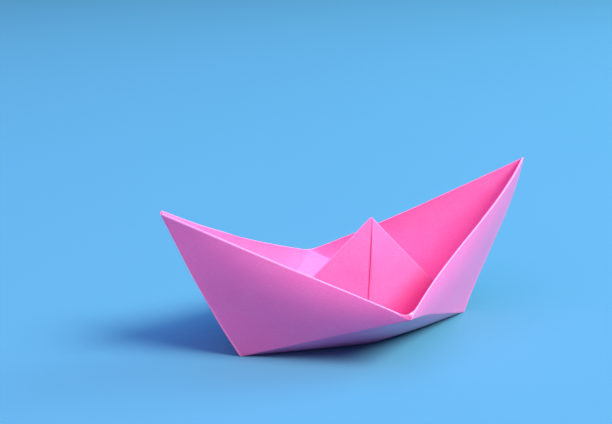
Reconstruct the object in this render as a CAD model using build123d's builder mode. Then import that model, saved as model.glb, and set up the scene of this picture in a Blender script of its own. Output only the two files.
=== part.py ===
from build123d import *
from math import hypot, sqrt
import os

# A paper boat, folded from one flat sheet and never cut or glued.
# X runs along the boat with the bow at -X, the near side is -Y, and the bottom folds stand on z = 0.

# The flat sheet, in millimetres
sheet_width = 210.0
sheet_length = 297.0
ply = 0.2

# How far the boat was opened after the last fold
half_beam = 47.3
middle_height = 24.0
near_foot = 9.5
far_foot = 6.5
sail_lean = 8.0
sail_lift = 1.8

# What the folds leave
fold_radius = 0.35
fold_swell = 0.05
fold_bearing = 0.25
slit_gap = 0.6
overrun = 3.0

# Folding the sheet in half and its corners to the middle sets every fold length from its width
half_width = sheet_width / 2
fold_length = half_width / sqrt(2)
brim = (sheet_length - sheet_width) / 2
brim_on_fold = brim * sqrt(2)

# The bottom corner, the middle of the gunwale and the tip make a right angle in every hull wall
corner_x = sqrt(fold_length**2 - half_beam**2 - middle_height**2)
stem_scale = fold_length / hypot(corner_x, middle_height)
tip_x = corner_x + middle_height * stem_scale
tip_z = fold_bearing + corner_x * stem_scale
sail_top = fold_bearing + sail_lift + sqrt(fold_length**2 - corner_x**2 - sail_lean**2)

bow_tip = Vector(-tip_x, 0, tip_z)
stern_tip = Vector(tip_x, 0, tip_z)
bow_corner = Vector(-corner_x, 0, fold_bearing)
stern_corner = Vector(corner_x, 0, fold_bearing)
near_middle = Vector(0, -half_beam, fold_bearing + middle_height)
far_middle = Vector(0, half_beam, fold_bearing + middle_height)
near_bottom = Vector(0, -near_foot, fold_bearing)
far_bottom = Vector(0, far_foot, fold_bearing)
peak = Vector(0, -sail_lean, sail_top)

# The layers build up from the smooth main sheet towards these two spaces beside the sail
near_space = Vector(0, -half_beam / 2, tip_z)
far_space = Vector(0, half_beam / 2, tip_z)

# Both corners of the folded sheet were turned to the near side, two layers each
near_plies = 3
far_plies = 1


# The point this far along the way from one point to another
def towards(start, end, distance):
    return start + (end - start).normalized() * distance


# The same way carried on past its end, so that a trim can cut both halves of the boat alike
def beyond(start, end):
    return end + (end - start).normalized() * overrun


# The plane of a panel, facing the side that its layers build up on
def panel_plane(corners, space):
    first, second, third = corners[:3]
    normal = (second - first).cross(third - first).normalized()
    if normal.dot(space - first) < 0:
        normal = -normal
    return Plane(origin=first, x_dir=second - first, z_dir=normal)


# The plane through a fold that halves the angle between its two panels, facing the first
def halving_plane(start, end, first, second):
    along = (end - start).normalized()
    arms = []
    for point in (first, second):
        arm = (point - start) - along * along.dot(point - start)
        arms.append(arm.normalized())
    return Plane(origin=start, x_dir=along, z_dir=arms[0] - arms[1])


# Some layers of one flat panel, counted up from its smooth outer face
def layers(corners, space, first, last):
    plane = panel_plane(corners, space)
    outline = [plane.to_local_coords(corner) for corner in corners]
    with BuildSketch(plane.offset(first * ply)) as panel:
        with BuildLine():
            Polyline(*[(point.X, point.Y) for point in outline], close=True)
        make_face()
    extrude(panel.sketch, amount=(last - first) * ply)


# A rounded fold from one point to another
def round_fold(start, end, radius):
    with BuildSketch(Plane(origin=start, z_dir=end - start)) as section:
        Circle(radius)
    extrude(section.sketch, amount=(end - start).length)


# A wall of the hull: the main sheet with its flap, the brim, and near the tip the end of the other
# side's brim, which was turned round the stem
def hull_wall(tip, corner, middle, space, plies):
    layers((tip, corner, middle), space, 0, plies)
    stem_end = towards(tip, corner, brim_on_fold)
    chine_end = towards(middle, corner, brim_on_fold)
    layers((tip, stem_end, chine_end, middle), space, plies, plies + 1)
    layers((tip, stem_end, towards(tip, middle, brim)), space, plies + 1, plies + 2)


# The gunwale, where the brim was folded up over the edge of the wall
def gunwale(tip, corner, middle, space, plies):
    radius = ply * (plies + 1) / 2
    inwards = panel_plane((tip, corner, middle), space).z_dir * radius
    round_fold(tip + inwards, beyond(tip, middle) + inwards, radius + fold_swell)


# A bottom panel, between the hull wall and the bottom fold, with the lower part of the brim
def bottom_panel(corner, middle, bottom, space, plies):
    past_chine = beyond(corner, middle)
    past_bottom = beyond(corner, bottom)
    layers((corner, past_chine, past_bottom), space, 0, 1)
    if plies > 1:
        slit_end = towards(middle, corner, slit_gap / sqrt(2))
        layers((corner, slit_end, towards(bottom, corner, slit_gap / 2)), space, 1, plies)
    chine_end = towards(middle, corner, brim_on_fold)
    brim_foot = beyond(chine_end, towards(middle, bottom, brim))
    layers((chine_end, past_chine, brim_foot), space, plies, plies + 1)
    round_fold(corner, past_bottom, fold_radius)


# Half of one face of the sail, and on the near side the ridge that folds round to the far face
def sail_panel(corner, bottom, space, plies):
    past_peak = beyond(corner, peak)
    layers((corner, past_peak, beyond(corner, bottom)), space, 0, 1)
    if plies > 1:
        slit_end = towards(peak, corner, slit_gap / sqrt(2))
        layers((corner, slit_end, towards(bottom, corner, slit_gap / 2)), space, 1, plies)
        outwards = panel_plane((corner, peak, bottom), space).z_dir * ply * (plies - far_plies) / 2
        radius = ply * (plies + far_plies) / 2 + fold_swell
        round_fold(corner + outwards, past_peak + outwards, radius)


ends = ((bow_tip, bow_corner, -1), (stern_tip, stern_corner, 1))
sides = (
    (near_middle, near_bottom, near_space, near_plies, -1),
    (far_middle, far_bottom, far_space, far_plies, 1),
)

# Each quarter of the boat is trimmed at its sharp folds and at the two middle planes
quarters = []
for middle, bottom, space, plies, side in sides:
    for tip, corner, end in ends:
        keel = Plane(origin=corner, z_dir=(0, side, 0))
        midship = Plane(origin=(0, 0, 0), z_dir=(end, 0, 0))
        foot = halving_plane(corner, bottom, middle, peak)
        with BuildPart() as wall:
            hull_wall(tip, corner, middle, space, plies)
            split(bisect_by=keel, keep=Keep.TOP)
            gunwale(tip, corner, middle, space, plies)
            split(bisect_by=midship, keep=Keep.TOP)
        with BuildPart() as floor:
            bottom_panel(corner, middle, bottom, space, plies)
            split(bisect_by=foot, keep=Keep.TOP)
            split(bisect_by=keel, keep=Keep.TOP)
            split(bisect_by=midship, keep=Keep.TOP)
        with BuildPart() as sail:
            sail_panel(corner, bottom, space, plies)
            split(bisect_by=foot, keep=Keep.BOTTOM)
            split(bisect_by=panel_plane((tip, corner, middle), space), keep=Keep.TOP)
            split(bisect_by=midship, keep=Keep.TOP)
        quarters += [wall.part, floor.part, sail.part]

# The whole sheet, with its stems, its corners, and the bottom folds pressed flat where they bear
with BuildPart() as folded_sheet:
    add(quarters)
    for tip, corner, end in ends:
        round_fold(corner, tip, fold_radius)
        with Locations(corner):
            Sphere(fold_radius + fold_swell)
    split(bisect_by=Plane.XY, keep=Keep.TOP)

folded_sheet.part.label = "folded_sheet"
os.makedirs("parts", exist_ok=True)
export_step(folded_sheet.part, "parts/folded_sheet.step")
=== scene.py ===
import math

import bmesh
import bpy
from mathutils import Matrix, Vector


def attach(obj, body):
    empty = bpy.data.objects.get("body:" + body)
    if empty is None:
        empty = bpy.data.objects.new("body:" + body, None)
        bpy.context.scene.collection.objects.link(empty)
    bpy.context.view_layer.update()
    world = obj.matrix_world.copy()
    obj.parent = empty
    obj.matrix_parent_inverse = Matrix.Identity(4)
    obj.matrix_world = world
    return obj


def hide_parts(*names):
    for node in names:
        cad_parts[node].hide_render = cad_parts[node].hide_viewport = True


# A boat folded from one sheet of pink paper. The bow is at -X, the near side is -Y, and it stands on z = 0.
# Every layer of the sheet is here, joined to the next one round its fold.

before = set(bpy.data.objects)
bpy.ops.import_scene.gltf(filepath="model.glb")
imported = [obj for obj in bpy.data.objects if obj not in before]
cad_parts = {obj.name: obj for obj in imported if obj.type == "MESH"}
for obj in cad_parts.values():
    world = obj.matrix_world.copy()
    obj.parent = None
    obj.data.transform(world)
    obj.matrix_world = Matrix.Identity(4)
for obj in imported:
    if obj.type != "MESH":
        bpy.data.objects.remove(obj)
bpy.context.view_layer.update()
mm = 0.001

# the sheet, and how its layers lie on each other (metres)
sheet = {
    "width": 0.210,
    "length": 0.297,
    "layerPitch": 0.00015,
    "slitGap": 0.0011,      # between the two corner flaps on the sail
    "slitCurl": 1.4,        # how far they lift there, in layers
    "farFlapCurl": 1.2,     # how much more the upper one lifts
    "curlWidth": 0.0045,
    "curlStart": 0.005,     # above the bottom fold
    "curlFade": 0.012,
    "brimClimb": 0.002,
    "slitSkew": 0.0033,     # the flaps meet a little towards the bow at the foot of the sail
    "bottomShare": 0.55,    # where the bottom fold crosses the middle, as a share of half the width
    "gridSteps": 32,        # divisions along the side of a panel
    "foldSteps": 6,         # divisions round a fold
}
halfWidth = sheet["width"] / 2
brimWidth = (sheet["length"] - sheet["width"]) / 2
halfSlit = sheet["slitGap"] / 2
bottomDrop = sheet["bottomShare"] * halfWidth       # from the peak to the bottom fold, on the flat hat

# how far the boat is opened (metres)
opened = {
    "halfBeam": 0.0473,
    "middleHeight": 0.024,
    "nearFoot": 0.0095,
    "farFoot": 0.0065,
    "sailLean": 0.008,
    "sailLift": 0.0018,
    "bearing": -0.0001,
}

# how far each corner stands from its folded place (millimetres)
# a least squares fit to the photo's corners gave 13 of these numbers, and 8 were changed after it
handled = {
    "bowTip": (-0.15, -0.15, -0.61),
    "sternTip": (-0.80, 0.91, 0.05),
    "bowCorner": (-2.0, 1.14, 0.0),
    "sternCorner": (0.63, -0.21, 0.0),
    "nearMiddle": (-0.79, 0.64, 0.39),
    "farMiddle": (-1.75, 0.06, -0.62),
    "peak": (1.6, -0.67, -0.06),
    "nearBottom": (0.6, -3.0, 0.0),
}


def foldedCorners():
    # a fold length and the opening set every corner, because paper doesn't stretch
    foldLength = halfWidth / math.sqrt(2)
    beam, height, lean = opened["halfBeam"], opened["middleHeight"], opened["sailLean"]
    foot = opened["bearing"]
    cornerX = math.sqrt(foldLength ** 2 - beam ** 2 - height ** 2)
    stemScale = foldLength / math.hypot(cornerX, height)
    tipX = cornerX + height * stemScale
    tipZ = foot + cornerX * stemScale
    sailTop = foot + opened["sailLift"] + math.sqrt(foldLength ** 2 - cornerX ** 2 - lean ** 2)
    corners = {
        "bowTip": Vector((-tipX, 0, tipZ)),
        "sternTip": Vector((tipX, 0, tipZ)),
        "bowCorner": Vector((-cornerX, 0, foot)),
        "sternCorner": Vector((cornerX, 0, foot)),
        "nearMiddle": Vector((0, -beam, foot + height)),
        "farMiddle": Vector((0, beam, foot + height)),
        "nearBottom": Vector((0, -opened["nearFoot"], foot)),
        "farBottom": Vector((0, opened["farFoot"], foot)),
        "peak": Vector((0, -lean, sailTop)),
    }
    for name, shift in handled.items():
        corners[name] = corners[name] + Vector(shift) * mm
    return corners


corners = foldedCorners()

# half of the flat hat that the boat is opened from: distance from the middle line, then height
hat = {
    "peak": (0, 0),
    "tip": (halfWidth, -halfWidth),
    "middle": (0, -halfWidth),
    "corner": (halfWidth / 2, -halfWidth / 2),
    "bottom": (0, -bottomDrop),
    "stemEnd": (halfWidth - brimWidth, brimWidth - halfWidth),
    "chineEnd": (brimWidth, brimWidth - halfWidth),
    "brimFoot": (0, brimWidth - halfWidth),
    "brimEdge": (halfWidth - brimWidth, -halfWidth),
    "slitPeak": (halfSlit, -halfSlit),
    "slitMiddle": (halfSlit, halfSlit - halfWidth),
}
panels = {
    "wall": ("tip", "corner", "middle"),
    "floor": ("corner", "middle", "bottom"),
    "sail": ("peak", "bottom", "corner"),
}


def flatSpot(end, name):
    if name != "slitBottom":
        return Vector(hat[name])
    across = halfSlit - end * sheet["slitSkew"]
    return Vector((across, -bottomDrop + abs(across) * (2 * bottomDrop / halfWidth - 1)))


def cornerName(side, end, name):
    if name == "tip":
        return "bowTip" if end < 0 else "sternTip"
    if name == "corner":
        return "bowCorner" if end < 0 else "sternCorner"
    if name == "peak":
        return "peak"
    return side + name.capitalize()


def panelCorners(side, end, panel):
    return [corners[cornerName(side, end, name)] for name in panels[panel]]


# a panel's normal faces the space beside the sail, where the layers pile up: a point in each (metres)
besideSail = {"near": (0, -0.024, 0.068), "far": (0, 0.024, 0.068)}


def panelNormal(side, end, panel):
    first, second, third = panelCorners(side, end, panel)
    normal = (second - first).cross(third - first).normalized()
    space = Vector(besideSail[side])
    return normal if normal.dot(space - first) > 0 else -normal


cornerHold = 0.002      # keeps a corner's lift short where its panels leave a direction open


# how a corner moves for each metre that a layer lies above the outside of its panels
def cornerLift(side, end, name):
    rows, heights = [], []
    ends = (end,) if name in ("tip", "corner") else (-1, 1)
    for one in ends:
        for panel, names in panels.items():
            if name in names:
                rows.append(panelNormal(side, one, panel))
                heights.append(1.0)
    if name == "tip":
        rows.append(Vector((0, 1, 0)))
        heights.append(0.0)
    square = Matrix(((cornerHold, 0, 0), (0, cornerHold, 0), (0, 0, cornerHold)))
    right = Vector((0, 0, 0))
    for row, height in zip(rows, heights):
        for i in range(3):
            right[i] += row[i] * height
            for j in range(3):
                square[i][j] += row[i] * row[j]
    return square.inverted() @ right


lifts = {
    (side, end, name): cornerLift(side, end, name)
    for side in ("near", "far") for end in (-1, 1)
    for name in ("tip", "corner", "middle", "bottom", "peak")
}


def shares(point, triangle):
    (ax, ay), (bx, by), (cx, cy) = triangle
    whole = (bx - ax) * (cy - ay) - (cx - ax) * (by - ay)
    second = ((point[0] - ax) * (cy - ay) - (cx - ax) * (point[1] - ay)) / whole
    third = ((bx - ax) * (point[1] - ay) - (point[0] - ax) * (by - ay)) / whole
    return 1 - second - third, second, third


# how the panels curve between their folds (millimetres)
curves = {
    "gunwale": {
        ("near", -1): (0.0, 1.6, -1.2),
        ("far", -1): (0.0, -1.4, -1.9),
        ("near", 1): (0.19, -0.25, -0.09),
        ("far", 1): (0.0, -0.5, -0.9),
    },
    "gunwaleWave": {
        ("near", -1): (0.0, 0.0, -0.6),
        ("far", -1): (0.0, 0.0, -0.35),
        ("near", 1): (1.28, -1.71, -0.59),
        ("far", 1): (0.0, 0.0, 0.2),
    },
    "wall": {("near", -1): 1.6, ("far", -1): 1.2, ("near", 1): 1.2, ("far", 1): 1.5},
    "tip": {("near", -1): (-0.5, -0.8, -1.0), ("far", -1): (0.0, 0.3, 0.0)},
    "stem": {-1: (-1.6, 0.0), 1: (1.5, 2.4)},       # how far it bows outwards, and how much more at its top
    "leech": {-1: (-0.5, 0.0, 0.5)},
    "chine": {("near", 1): 1.8},
    "floor": 1.0,
    "sail": -0.5,
    "bendDepth": 1.1,
    "bendShare": {"near": 1, "far": -0.7},
    "bendWidth": 0.006,     # this and the next in metres
    "bendReach": 0.042,
}
# a point's shares of its panel's corners are multiplied together, and these scale the products
overPanel = 27          # three shares, 1 at the panel's centre
alongEdge = 4           # two shares, 1 halfway along an edge
nearThird = 2.37        # 1 again after the third corner's share is multiplied in once more
waveGain = 1.5
tipPower = 7            # how closely a shift keeps to the tip


def curved(side, end, panel, point, weight):
    shift = Vector((0, 0, 0))
    bulge = overPanel * weight[0] * weight[1] * weight[2] * mm
    if panel != "sail":
        # the chine lifts beside the middle corner
        inner, outer = (weight[2], weight[1]) if panel == "wall" else (weight[1], weight[0])
        shift.z += curves["chine"].get((side, end), 0.0) * alongEdge * outer * inner ** 2 * mm
    if panel == "wall":
        along = alongEdge * weight[0] * weight[2] * mm
        shift += Vector(curves["gunwale"][(side, end)]) * along
        shift += Vector(curves["gunwaleWave"][(side, end)]) * along * (weight[0] - weight[2]) * waveGain
        outwards, atTop = curves["stem"][end]
        reach = outwards + atTop * (weight[0] - weight[1])
        shift.x += alongEdge * weight[0] * weight[1] * reach * mm
        # the stem is blunt, because its two walls stand a little apart at the tip
        shift += Vector(curves["tip"].get((side, end), (0, 0, 0))) * max(0.0, weight[0]) ** tipPower * mm
        # it bulges most towards the middle, and the paper is stiff along the stem
        bulge *= nearThird * weight[2]
        return shift - panelNormal(side, end, panel) * bulge * curves["wall"][(side, end)]
    shift -= panelNormal(side, end, panel) * bulge * curves[panel]
    if panel == "sail":
        shift += Vector(curves["leech"].get(end, (0, 0, 0))) * alongEdge * weight[0] * weight[2] * mm
    # the sail and the bottom turn softly over the middle, where the paper was never creased
    away = min(1.0, abs(point[1] + bottomDrop) / curves["bendReach"])
    fade = (1 - away * away) ** 2
    width = curves["bendWidth"]
    soft = (math.hypot(point[0], width) - abs(point[0])) / width
    shift.y += curves["bendShare"][side] * curves["bendDepth"] * mm * soft * fade
    return shift


# where the gunwale turns its corner: on the far side the whole wall rounds it off, and on the near
# side the stiff brim cuts across it, so that a small pocket opens between the brim and the wall (metres)
pocket = {
    "cut": {"near": 0.0018, "far": 0.0011},
    # how far from the corner the brim leaves the wall
    "reach": {("near", -1): 0.0030, ("near", 1): 0.0043, ("far", -1): 0.0035, ("far", 1): 0.0035},
    "rounding": 0.3,        # as a share of the reach
    "inwards": {"near": (0, 0.74, 0.67), "far": (0, -0.74, 0.67)},
    "depth": 0.009,
    "eyeDepth": 0.0032,
    "eyeWidth": 0.0019,
    "eyeAlong": -0.0013,
    "eyeReach": 0.75,       # as a share of the way round the gunwale's fold
    "wearAndHighlightEdge": 0.0004,     # where the strip is wide, only its two edges get the fold's wear and painted highlight
}


# how far a layer stands off here
def pocketShare(side, end, point):
    short = 1 - point[0] / pocket["reach"][(side, end)]
    down = math.exp(-((point[1] + halfWidth) / pocket["depth"]) ** 2)
    return pocket["cut"][side] * (short + math.hypot(short, pocket["rounding"])) / 2 * down


def eyeShare(side, along):
    if side == "far":
        return 0.0
    return math.exp(-((along - pocket["eyeAlong"]) / pocket["eyeWidth"]) ** 2)


# how deep the gunwale's fold dips at the pocket, point by point
def pocketDips(side, end):
    steps = sheet["gridSteps"]
    places = [end * halfWidth * (1 - crowded(i / steps)) for i in range(steps + 1)]
    return [pocket["eyeDepth"] * eyeShare(side, place) for place in places]


def placed(side, end, panel, point, height, springs):
    if point[0] < 0:        # the stern flap reaches over the middle
        end, point = -end, (-point[0], point[1])
    triangle = [hat[name] for name in panels[panel]]
    weight = shares(point, triangle)
    spot = Vector((0, 0, 0))
    for share, name in zip(weight, panels[panel]):
        corner = corners[cornerName(side, end, name)]
        spot += (corner + lifts[(side, end, name)] * height) * share
    spot += curved(side, end, panel, point, weight)
    spot += Vector(pocket["inwards"][side]) * (springs * pocketShare(side, end, point))
    return spot


# the divisions lie closer together towards the corners of a panel, where the paper turns most
def crowded(share):
    return share * share * (3 - 2 * share)


class FoldedSheet:
    # collects the points, faces and flat places of every layer

    def __init__(self):
        self.points = []
        self.faces = []
        self.flats = []
        self.known = {}

    def point(self, side, layer, end, panel, spot):
        x = end * spot[0]
        key = (side, layer["name"], round(x, 7), round(spot[1], 7))
        if key not in self.known:
            height = layer["height"](spot) * sheet["layerPitch"]
            self.known[key] = len(self.points)
            self.points.append(placed(side, end, panel, spot, height, layer["springs"]))
            self.flats.append(layer["flat"](x, spot[1], end))
        return self.known[key]

    # a flat triangle of one layer, divided into smaller ones
    def fill(self, side, layer, end, panel, names):
        steps = sheet["gridSteps"]
        first, second, third = [flatSpot(end, name) for name in names]
        grid = {}
        for i in range(steps + 1):
            for j in range(steps + 1 - i):
                parts = [crowded(1 - (i + j) / steps), crowded(i / steps), crowded(j / steps)]
                spot = (first * parts[0] + second * parts[1] + third * parts[2]) / sum(parts)
                grid[i, j] = self.point(side, layer, end, panel, tuple(spot))
        for i in range(steps):
            for j in range(steps - i):
                self.faces.append((grid[i, j], grid[i + 1, j], grid[i, j + 1]))
                if i + j < steps - 1:
                    self.faces.append((grid[i + 1, j], grid[i + 1, j + 1], grid[i, j + 1]))

    # the points of one layer along some of its edges
    def edge(self, side, layer, end, path):
        steps = sheet["gridSteps"]
        found = []
        for panel, start, stop in path:
            first, last = flatSpot(end, start), flatSpot(end, stop)
            for i in range(steps + 1):
                spot = first + (last - first) * crowded(i / steps)
                index = self.point(side, layer, end, panel, tuple(spot))
                if not found or found[-1] != index:
                    found.append(index)
        return found

    # the strip of paper round a fold, from one layer's edge to another's
    def fold(self, first, second, outwards, roundness, dips=None):
        steps = sheet["foldSteps"]
        rows = []
        for number, (start, stop) in enumerate(zip(first, second)):
            low, high = self.points[start], self.points[stop]
            centre, arm = (low + high) / 2, (low - high) / 2
            row = [start]
            for step in range(1, steps):
                turn = math.pi * step / steps
                spot = centre + arm * math.cos(turn)
                spot += outwards[number] * arm.length * roundness * math.sin(turn)
                if dips:
                    sunk = math.sin(math.pi * min(1.0, step / steps / pocket["eyeReach"]))
                    spot -= outwards[number] * (dips[number] * sunk)
                row.append(len(self.points))
                self.points.append(spot)
                # inside a wide strip the flat place moves off the fold, so the fold's wear and painted
                # highlight stay at its two edges
                inside = max(0.0, min((spot - low).length, (spot - high).length) - pocket["wearAndHighlightEdge"])
                u, v = self.flats[start]
                self.flats.append((u, v + inside) if dips else (u, v))
            row.append(stop)
            rows.append(row)
        for low, high in zip(rows, rows[1:]):
            for i in range(steps):
                self.faces.append((low[i], low[i + 1], high[i + 1], high[i]))


# the two flaps curl a little off the sail along the slit between them (in layers)
def curl(point):
    overBottom = min(1.0, max(0.0, (point[1] + bottomDrop - sheet["curlStart"]) / sheet["curlFade"]))
    underPeak = min(1.0, max(0.0, -point[1] / sheet["curlFade"]))
    return sheet["slitCurl"] * (overBottom * underPeak) * math.exp(-(point[0] / sheet["curlWidth"]) ** 2)


# near the tip the far brim climbs over the end of the near one, which was turned round the stem
def overBrimEnd(point):
    return min(1.0, max(0.0, (point[0] - halfWidth + brimWidth) / sheet["brimClimb"] + 1.0))


# how high each layer lies above the smooth outside (in layers), how much of the pocket's cut it
# follows, and where it was in the flat sheet, whose middle fold is at v = 0
layersOf = {
    "near": {
        "main": {"name": "main", "height": lambda p: 0.5, "springs": 0.0,
                 "flat": lambda x, y, end: (x, y)},
        "flap": {"name": "flap", "height": lambda p: 1.5 + curl(p), "springs": 0.1,
                 "flat": lambda x, y, end: (-end * y, -end * x)},
        "farFlap": {"name": "farFlap", "springs": 0.2,
                    "height": lambda p: 2.5 + curl(p) * sheet["farFlapCurl"],
                    "flat": lambda x, y, end: (-end * y, end * x)},
        "brim": {"name": "brim", "height": lambda p: 3.5, "springs": 1.0,
                 "flat": lambda x, y, end: (x, -2 * halfWidth - y)},
        "brimEnd": {"name": "brimEnd", "height": lambda p: 4.5, "springs": 1.0,
                    "flat": lambda x, y, end: (-end * y, 2 * halfWidth - end * x)},
    },
    "far": {
        "main": {"name": "main", "height": lambda p: 0.5, "springs": 1.0,
                 "flat": lambda x, y, end: (x, -y)},
        "brim": {"name": "brim", "height": lambda p: 1.5 + overBrimEnd(p), "springs": 1.0,
                 "flat": lambda x, y, end: (x, 2 * halfWidth + y)},
        "brimEnd": {"name": "brimEnd", "height": lambda p: 1.5, "springs": 0.0,
                    "flat": lambda x, y, end: (-end * y, -2 * halfWidth + end * x)},
    },
}


# the direction in a panel's own plane straight out over one of its edges
def overEdge(side, end, panel, start, stop):
    names = panels[panel]
    inner = [name for name in names if name not in (start, stop)][0]
    first = corners[cornerName(side, end, start)]
    last = corners[cornerName(side, end, stop)]
    third = corners[cornerName(side, end, inner)]
    along = (last - first).normalized()
    arm = third - first
    return -(arm - along * along.dot(arm)).normalized()


def spread(segments, count):
    # one direction for each point along the path, shared where two edges meet
    steps = sheet["gridSteps"]
    found = []
    for number in range(count):
        index = min(number // steps, len(segments) - 1)
        direction = segments[index]
        if number % steps == 0 and 0 < number < count - 1:
            direction = segments[index - 1] + segments[index]
        found.append(direction.normalized())
    return found


# how far each fold stands out, against a half circle
roundness = {"stem": 0.9, "slit": 1.0, "gunwale": 1.0, "turnedBrim": 0.3}


def foldSheet():
    paper = FoldedSheet()
    near, far = layersOf["near"], layersOf["far"]
    for end in (-1, 1):
        for side, layers in layersOf.items():
            for panel, names in panels.items():
                paper.fill(side, layers["main"], end, panel, names)
            paper.fill(side, layers["brim"], end, "wall", ("tip", "stemEnd", "middle"))
            paper.fill(side, layers["brim"], end, "wall", ("stemEnd", "chineEnd", "middle"))
            paper.fill(side, layers["brim"], end, "floor", ("chineEnd", "brimFoot", "middle"))
            paper.fill(side, layers["brimEnd"], end, "wall", ("tip", "stemEnd", "brimEdge"))
        for layer in (near["flap"], near["farFlap"]):
            paper.fill("near", layer, end, "wall", ("tip", "corner", "slitMiddle"))
            if end < 0:
                paper.fill("near", layer, end, "floor", ("corner", "slitMiddle", "slitBottom"))
                paper.fill("near", layer, end, "sail", ("slitPeak", "slitBottom", "corner"))
            else:
                paper.fill("near", layer, end, "floor", ("corner", "slitMiddle", "bottom"))
                paper.fill("near", layer, end, "floor", ("bottom", "slitMiddle", "slitBottom"))
                paper.fill("near", layer, end, "sail", ("slitPeak", "bottom", "corner"))
                paper.fill("near", layer, end, "sail", ("slitPeak", "slitBottom", "bottom"))

        stem = overEdge("near", end, "wall", "tip", "corner") + overEdge("far", end, "wall", "tip", "corner")
        ridge = overEdge("near", end, "sail", "peak", "corner")
        outer = (("wall", "tip", "corner"), ("sail", "corner", "peak"))
        outerFlap = (("wall", "tip", "corner"), ("sail", "corner", "slitPeak"))
        mainEdge = paper.edge("near", near["main"], end, outer)
        outwards = spread([stem, ridge], len(mainEdge))
        paper.fold(mainEdge, paper.edge("near", near["flap"], end, outerFlap), outwards, roundness["stem"])
        paper.fold(paper.edge("near", near["farFlap"], end, outerFlap),
                   paper.edge("far", far["main"], end, outer), outwards, roundness["stem"])

        slit = (("sail", "slitPeak", "slitBottom"), ("floor", "slitBottom", "slitMiddle"))
        flapEdge = paper.edge("near", near["flap"], end, slit)
        inward = Vector((-end, 0, 0))
        paper.fold(flapEdge, paper.edge("near", near["farFlap"], end, slit),
                   spread([inward, inward], len(flapEdge)), roundness["slit"])

        for side, layers in layersOf.items():
            top = (("wall", "tip", "middle"),)
            topEdge = paper.edge(side, layers["main"], end, top)
            over = overEdge(side, end, "wall", "tip", "middle")
            paper.fold(topEdge, paper.edge(side, layers["brim"], end, top),
                       spread([over], len(topEdge)), roundness["gunwale"], pocketDips(side, end))

        turned = (("wall", "tip", "stemEnd"),)
        for one, other in (("near", "far"), ("far", "near")):
            brimEdge = paper.edge(one, layersOf[one]["brim"], end, turned)
            paper.fold(brimEdge, paper.edge(other, layersOf[other]["brimEnd"], end, turned),
                       spread([stem], len(brimEdge)), roundness["turnedBrim"])
    return paper


def meshOf(paper, name):
    mesh = bpy.data.meshes.new(name)
    mesh.from_pydata([tuple(p) for p in paper.points], [], paper.faces)
    flat = mesh.uv_layers.new(name="flatSheet")
    for loop in mesh.loops:
        u, v = paper.flats[loop.vertex_index]
        flat.data[loop.index].uv = (u, v)
    work = bmesh.new()
    work.from_mesh(mesh)
    bmesh.ops.recalc_face_normals(work, faces=work.faces)
    work.to_mesh(mesh)
    work.free()
    return mesh


paperSheet = foldSheet()
print("folded sheet:", len(paperSheet.points), "points,", len(paperSheet.faces), "faces")


# one value in a material's or a shape's node tree, which adds its Math nodes as it is used
class Value:
    def __init__(self, nodes, socket):
        self.nodes = nodes
        self.socket = socket

    def maths(self, operation, first, second=None):
        inputs = [first] if second is None else [first, second]
        node = self.nodes.add("ShaderNodeMath", {"operation": operation}, dict(enumerate(inputs)))
        return Value(self.nodes, node.outputs[0])

    def __add__(self, other):
        return self.maths("ADD", self, other)

    __radd__ = __add__

    def __sub__(self, other):
        return self.maths("SUBTRACT", self, other)

    def __rsub__(self, other):
        return self.maths("SUBTRACT", other, self)

    def __mul__(self, other):
        return self.maths("MULTIPLY", self, other)

    __rmul__ = __mul__

    def __truediv__(self, other):
        return self.maths("DIVIDE", self, other)

    def __rtruediv__(self, other):
        return self.maths("DIVIDE", other, self)

    def __abs__(self):
        return self.maths("ABSOLUTE", self)

    def atLeast(self, other):
        return self.maths("MAXIMUM", self, other)

    def atMost(self, other):
        return self.maths("MINIMUM", self, other)


class Nodes:
    def __init__(self, tree):
        self.tree = tree

    # any node: its type, its settings, and the values or links of its sockets
    def add(self, kind, settings=None, sockets=None):
        node = self.tree.nodes.new(kind)
        for name, value in (settings or {}).items():
            setattr(node, name, value)
        for name, value in (sockets or {}).items():
            if isinstance(value, Value):
                value = value.socket
            if isinstance(value, bpy.types.NodeSocket):
                self.tree.links.new(value, node.inputs[name])
            else:
                node.inputs[name].default_value = value
        return node

    def value(self, socket):
        return Value(self, socket)


# the sheet's thickness and the small unevenness of handled paper (metres)
paperBody = {
    "Thickness": 0.00014,
    "Cockle": 0.00022,
    "Cockle Size": 0.021,
    "Seed": 4.0,
}


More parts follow.
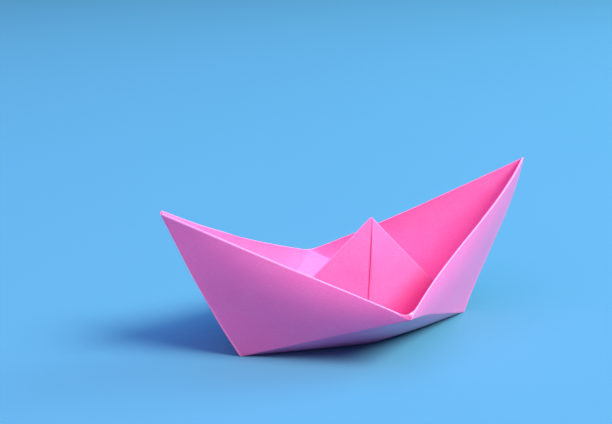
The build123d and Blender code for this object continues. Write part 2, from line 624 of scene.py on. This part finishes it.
def paperTree(material):
    tree = bpy.data.node_groups.new("paperBody", "GeometryNodeTree")
    tree.interface.new_socket("Paper", in_out="OUTPUT", socket_type="NodeSocketGeometry")
    tree.interface.new_socket("Sheet", in_out="INPUT", socket_type="NodeSocketGeometry")
    for name, value in paperBody.items():
        tree.interface.new_socket(name, in_out="INPUT", socket_type="NodeSocketFloat").default_value = value
    finish = tree.interface.new_socket("Material", in_out="INPUT", socket_type="NodeSocketMaterial")
    finish.default_value = material
    nodes = Nodes(tree)
    given = nodes.add("NodeGroupInput").outputs

    # every layer at a place moves alike, so the layers stay apart
    place = nodes.add("GeometryNodeInputPosition").outputs[0]
    cell = nodes.value(given["Cockle Size"])
    finer = nodes.add("ShaderNodeVectorMath", {"operation": "SCALE"}, {0: place, "Scale": 1.0 / cell})
    uneven = nodes.add("ShaderNodeTexNoise", {"noise_dimensions": "4D"},
                       {"Vector": finer.outputs[0], "W": given["Seed"], "Scale": 1.0,
                        "Detail": 1.5, "Roughness": 0.4})
    centred = nodes.add("ShaderNodeVectorMath", {"operation": "SUBTRACT"},
                        {0: uneven.outputs["Color"], 1: (0.5, 0.5, 0.5)})
    # the corners that it stands on stay on the floor
    high = nodes.add("ShaderNodeSeparateXYZ", None, {0: place}).outputs[2]
    settled = nodes.add("ShaderNodeMapRange", None,
                        {"Value": high, "From Min": 0.001, "From Max": 0.008, "To Min": 0.0, "To Max": 2.0})
    amount = nodes.value(settled.outputs[0]) * nodes.value(given["Cockle"])
    shift = nodes.add("ShaderNodeVectorMath", {"operation": "SCALE"},
                      {0: centred.outputs[0], "Scale": amount})
    moved = nodes.add("GeometryNodeSetPosition", None,
                      {"Geometry": given["Sheet"], "Offset": shift.outputs[0]})

    # half the thickness to each side of the sheet's own surface
    thickness = nodes.value(given["Thickness"])
    normal = nodes.add("GeometryNodeInputNormal").outputs[0]
    back = nodes.add("ShaderNodeVectorMath", {"operation": "SCALE"}, {0: normal, "Scale": thickness * -0.5})
    inner = nodes.add("GeometryNodeSetPosition", None,
                      {"Geometry": moved.outputs[0], "Offset": back.outputs[0]})
    outer = nodes.add("GeometryNodeExtrudeMesh", {"mode": "FACES"},
                      {"Mesh": inner.outputs[0], "Offset": normal, "Offset Scale": thickness,
                       "Individual": False})
    turned = nodes.add("GeometryNodeFlipFaces", None, {"Mesh": inner.outputs[0]})
    joined = nodes.add("GeometryNodeJoinGeometry")
    tree.links.new(turned.outputs[0], joined.inputs[0])
    tree.links.new(outer.outputs[0], joined.inputs[0])
    closed = nodes.add("GeometryNodeMergeByDistance", None,
                       {"Geometry": joined.outputs[0], "Distance": 0.000001})
    real = nodes.add("GeometryNodeRealizeInstances", None, {"Geometry": closed.outputs[0]})
    dressed = nodes.add("GeometryNodeSetMaterial", None,
                        {"Geometry": real.outputs[0], "Material": given["Material"]})
    nodes.add("NodeGroupOutput", None, {"Paper": dressed.outputs[0]})
    return tree


sharpFold = 33      # degrees: a sharper turn than this is shaded as an edge


def dressSheet(name, mesh, material):
    source = bpy.data.objects.new(name + "Source", mesh)
    bpy.context.scene.collection.objects.link(source)
    modifier = source.modifiers.new("paperBody", "NODES")
    modifier.node_group = paperTree(material)
    for item in modifier.node_group.interface.items_tree:
        if item.in_out == "INPUT" and item.name in paperBody:
            modifier[item.identifier] = paperBody[item.name]
    bpy.context.view_layer.update()
    evaluated = source.evaluated_get(bpy.context.evaluated_depsgraph_get())
    finished = bpy.data.meshes.new_from_object(evaluated)
    source.modifiers.remove(modifier)
    bpy.data.objects.remove(source)
    finished.name = name
    finished.polygons.foreach_set("use_smooth", [True] * len(finished.polygons))
    finished.set_sharp_from_angle(angle=math.radians(sharpFold))
    piece = bpy.data.objects.new(name, finished)
    bpy.context.scene.collection.objects.link(piece)
    return piece


# the dyed paper: linear colours, and sizes in metres of the flat sheet
pinkPaper = {
    "pink": (0.96, 0.165, 0.42),
    "paleFibre": (0.97, 0.28, 0.52),
    # a lighter pink along every fold: partly wear, partly a painted highlight where the folds catch the
    # light
    "foldWearAndHighlight": (0.98, 0.40, 0.62),
    "palest": 0.75,
    "foldWidth": 0.0003,
    "lessAtDiagonal": 0.00018,  # the other folds are lightened over a narrower strip than the gunwale, by wear and painted highlight
    "lessAtChine": 0.00022,     # and at the bottom fold
    "foldLightEvenShare": 0.2,          # the rest of the fold's wear and painted highlight follows the fibres
    "roughness": 0.45,
    "fibreRoughness": 0.25,
    "fibreSize": 0.0007,
    "fibreLevel": 0.44,
    "fibreContrast": 1.9,
    "cloudSize": 0.009,
    "cloudContrast": 0.6,
    "cloudBump": 0.6,
    "bumpStrength": 0.35,
    "bumpDistance": 0.00004,
    "specular": 0.3,
    "calendered": 0.8,          # the pressed, slightly glossy skin of the sheet
    "calenderedRoughness": 0.24,
}


def makePinkPaper():
    material = bpy.data.materials.new("pinkPaper")
    material.use_nodes = True
    material.node_tree.nodes.clear()
    nodes = Nodes(material.node_tree)
    flat = nodes.add("ShaderNodeUVMap", {"uv_map": "flatSheet"}).outputs[0]

    # fibres lie every way in the sheet, with a faint cloudiness behind them
    fibre = nodes.add("ShaderNodeTexNoise", None,
                      {"Vector": flat, "Scale": 1 / pinkPaper["fibreSize"], "Detail": 3.0, "Roughness": 0.6,
                       "Distortion": 0.8}).outputs[0]
    cloud = nodes.add("ShaderNodeTexNoise", None,
                      {"Vector": flat, "Scale": 1 / pinkPaper["cloudSize"], "Detail": 2.0}).outputs[0]
    fibre, cloud = nodes.value(fibre), nodes.value(cloud)
    speckle = (fibre - pinkPaper["fibreLevel"]) * pinkPaper["fibreContrast"]
    pale = speckle + (cloud - 0.5) * pinkPaper["cloudContrast"]
    pale = pale.atLeast(0.0).atMost(pinkPaper["palest"])

    # distance to the nearest fold, in the flat sheet
    apart = nodes.add("ShaderNodeSeparateXYZ", None, {0: flat}).outputs
    u, v = abs(nodes.value(apart[0])), abs(nodes.value(apart[1]))
    longer, shorter = u.atLeast(v), u.atMost(v)
    diagonal = (longer - shorter) / math.sqrt(2)
    chine = abs(longer + shorter - halfWidth) / math.sqrt(2)
    quarter, slope = halfWidth / 2, bottomDrop - halfWidth / 2
    run = math.hypot(slope, quarter)
    bottom = abs((longer - quarter) * (quarter / run) + (shorter - quarter) * (slope / run))
    onSheet = abs(longer - halfWidth)
    # the gunwale gets the widest strip of fold colour, which is wear and painted highlight together
    nearest = onSheet.atMost(diagonal + pinkPaper["lessAtDiagonal"])
    nearest = nearest.atMost(chine + pinkPaper["lessAtChine"]).atMost(bottom + pinkPaper["lessAtChine"])
    wearAndHighlight = 1.0 - (nearest / pinkPaper["foldWidth"]).atMost(1.0)
    wearAndHighlight = wearAndHighlight * (pinkPaper["foldLightEvenShare"] + fibre * (1 - pinkPaper["foldLightEvenShare"]))

    body = nodes.add("ShaderNodeMix", {"data_type": "RGBA"},
                     {0: pale, 6: (*pinkPaper["pink"], 1), 7: (*pinkPaper["paleFibre"], 1)}).outputs[2]
    # the folds are painted lighter here: wear and painted highlight
    colour = nodes.add("ShaderNodeMix", {"data_type": "RGBA"},
                       {0: wearAndHighlight, 6: body, 7: (*pinkPaper["foldWearAndHighlight"], 1)}).outputs[2]
    rough = pinkPaper["roughness"] + (fibre - 0.5) * pinkPaper["fibreRoughness"]
    bump = nodes.add("ShaderNodeBump", None,
                     {"Strength": pinkPaper["bumpStrength"], "Distance": pinkPaper["bumpDistance"],
                      "Height": fibre + cloud * pinkPaper["cloudBump"]}).outputs[0]
    shader = nodes.add("ShaderNodeBsdfPrincipled", None,
                       {"Base Color": colour, "Roughness": rough, "Normal": bump,
                        "Specular IOR Level": pinkPaper["specular"],
                        "Coat Weight": pinkPaper["calendered"],
                        "Coat Roughness": pinkPaper["calenderedRoughness"]})
    nodes.add("ShaderNodeOutputMaterial", None, {"Surface": shader.outputs[0]})
    return material


paperFinish = makePinkPaper()
boat = dressSheet("foldedPaper", meshOf(paperSheet, "sheetSurface"), paperFinish)
print("paper with its thickness:", len(boat.data.polygons), "faces")

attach(boat, "root")
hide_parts("folded_sheet")


# the table it stands on, and the blue surround
studio = {
    "floorColour": (0.093, 0.303, 0.412),
    "floorRoughness": 0.9,
    "floorSpecular": 0.1,
    "floorRadius": 4.0,
    "floorSegments": 96,
    "worldColour": (0.06, 0.42, 0.94),
    "worldStrength": 0.28,
}


def makeFloor():
    mesh = bpy.data.meshes.new("floor")
    work = bmesh.new()
    bmesh.ops.create_circle(work, cap_ends=True, segments=studio["floorSegments"],
                            radius=studio["floorRadius"])
    work.to_mesh(mesh)
    work.free()
    floor = bpy.data.objects.new("floor", mesh)
    bpy.context.scene.collection.objects.link(floor)
    material = bpy.data.materials.new("paleBlueFloor")
    material.use_nodes = True
    shader = material.node_tree.nodes["Principled BSDF"]
    shader.inputs["Base Color"].default_value = (*studio["floorColour"], 1)
    shader.inputs["Roughness"].default_value = studio["floorRoughness"]
    shader.inputs["Specular IOR Level"].default_value = studio["floorSpecular"]
    mesh.materials.append(material)
    return floor


makeFloor()

world = bpy.data.worlds.new("softSurround")
world.use_nodes = True
world.node_tree.nodes["Background"].inputs[0].default_value = (*studio["worldColour"], 1)
world.node_tree.nodes["Background"].inputs[1].default_value = studio["worldStrength"]
bpy.context.scene.world = world


# Only the key is near white. The other three are tinted, and together they are brighter than plain
# light, so the pink and the blue are written deeper than they render (metres, watts).
lamps = {
    "keyLamp": {"direction": (0.37, -0.60, 0.71), "distance": 12.0, "size": 5.0, "power": 2060.0,
                "colour": (1.0, 0.99, 0.97)},
    "sideLamp": {"direction": (0.85, -0.12, 0.50), "distance": 2.0, "size": 1.2, "power": 23.0,
                 "colour": (0.55, 0.88, 1.0)},
    "skyLamp": {"direction": (0, 0, 1), "distance": 2.5, "size": 3.0, "power": 48.0,
                "colour": (0.06, 0.42, 0.94)},
    "fillLamp": {"direction": (-0.55, -0.40, 0.73), "distance": 3.0, "size": 3.2, "power": 60.0,
                 "colour": (1.0, 0.24, 0.58)},
}


def makeLamp(name, direction, distance, size, power, colour):
    data = bpy.data.lights.new(name, "AREA")
    data.shape = "DISK"
    data.size = size
    data.energy = power
    data.color = colour
    lamp = bpy.data.objects.new(name, data)
    toLamp = Vector(direction).normalized()
    lamp.location = toLamp * distance
    lamp.rotation_euler = toLamp.to_track_quat("Z", "Y").to_euler()
    bpy.context.scene.collection.objects.link(lamp)


for name, lamp in lamps.items():
    makeLamp(name, **lamp)

# the camera: where it stands round the boat, and which way it looks (degrees, metres)
# all but the sensor come from the same fit, and lookElevation was raised after it
viewpoint = {
    "azimuth": -26.375,
    "elevation": 24.012,
    "distance": 0.42976,
    "lookAzimuth": -23.228,
    "lookElevation": 16.99,
    "roll": -1.405,
    "lens": 58.22,
    "sensor": 36,
}


def around(azimuth, elevation):
    turn, rise = math.radians(azimuth), math.radians(elevation)
    return Vector((math.sin(turn) * math.cos(rise), -math.cos(turn) * math.cos(rise), math.sin(rise)))


def makeCamera():
    data = bpy.data.cameras.new("camera")
    data.lens = viewpoint["lens"]
    data.sensor_width = viewpoint["sensor"]
    camera = bpy.data.objects.new("camera", data)
    back = around(viewpoint["lookAzimuth"], viewpoint["lookElevation"])
    right = Vector((0, 0, 1)).cross(back).normalized()
    up = back.cross(right)
    roll = math.radians(viewpoint["roll"])
    level = right * math.cos(roll) + up * math.sin(roll)
    rise = up * math.cos(roll) - right * math.sin(roll)
    pose = Matrix((level, rise, back)).transposed().to_4x4()
    pose.translation = around(viewpoint["azimuth"], viewpoint["elevation"]) * viewpoint["distance"]
    camera.matrix_world = pose
    bpy.context.scene.collection.objects.link(camera)
    bpy.context.scene.camera = camera


makeCamera()
bpy.context.scene.view_settings.view_transform = "Standard"
print("floor, light and camera made")
